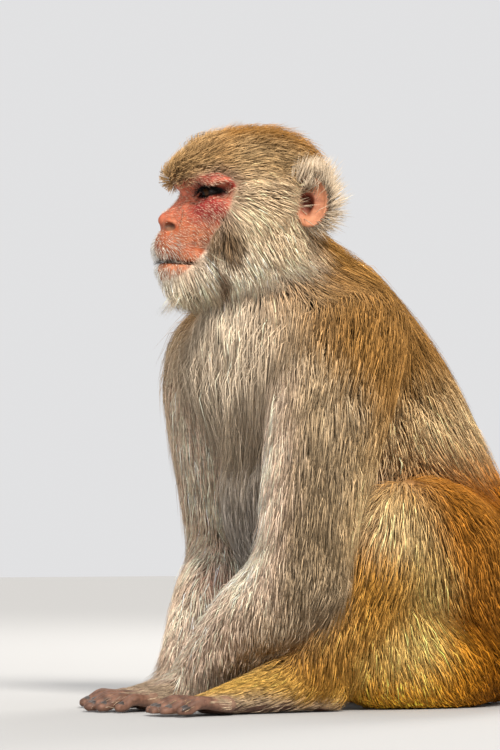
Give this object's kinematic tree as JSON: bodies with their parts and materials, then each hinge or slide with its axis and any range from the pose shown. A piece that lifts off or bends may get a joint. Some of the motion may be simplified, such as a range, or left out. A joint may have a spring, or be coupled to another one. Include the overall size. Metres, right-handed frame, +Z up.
{
  "type": "rhesus macaque monkey figure",
  "caption": "Life-size adult rhesus macaque sitting on its haunches, hands and feet flat in front, head turned to its right, tail laid on the floor behind.",
  "frame": {"origin": "on the floor under the middle of the bounding box, seen from above", "axes": "+Z up; the animal faces -Y; its left side is +X"},
  "size_m": [0.3009, 0.4757, 0.4448],
  "materials": {
    "golden_coat": "golden-brown fur, 25 to 40 mm hair",
    "grey_brown_coat": "grey-brown fur, 20 to 35 mm hair",
    "pale_coat": "pale grey-cream fur, golden on the crown",
    "bare_skin": "bare pink to red skin of face, ears and sitting pads",
    "hand_skin": "dark reddish-brown skin of hands and feet",
    "nail": "dark horn with pale edges",
    "eye": "wet brown eye"
  },
  "bodies": {
    "root": {"abdomen": "golden_coat", "ear_left": "pale_coat", "ear_right": "pale_coat", "eye_left": "eye", "eye_right": "eye", "foot_left": "hand_skin", "foot_right": "hand_skin", "forearm_left": "grey_brown_coat", "forearm_right": "grey_brown_coat", "hand_left": "hand_skin", "hand_right": "hand_skin", "head": "pale_coat", "neck": "pale_coat", "shin_left": "golden_coat", "shin_right": "golden_coat", "sitting_pad_left": "bare_skin", "sitting_pad_right": "bare_skin", "tail": "grey_brown_coat", "thigh_left": "golden_coat", "thigh_right": "golden_coat", "thorax": "grey_brown_coat", "upper_arm_left": "grey_brown_coat", "upper_arm_right": "grey_brown_coat"}
  },
  "joints": []
}
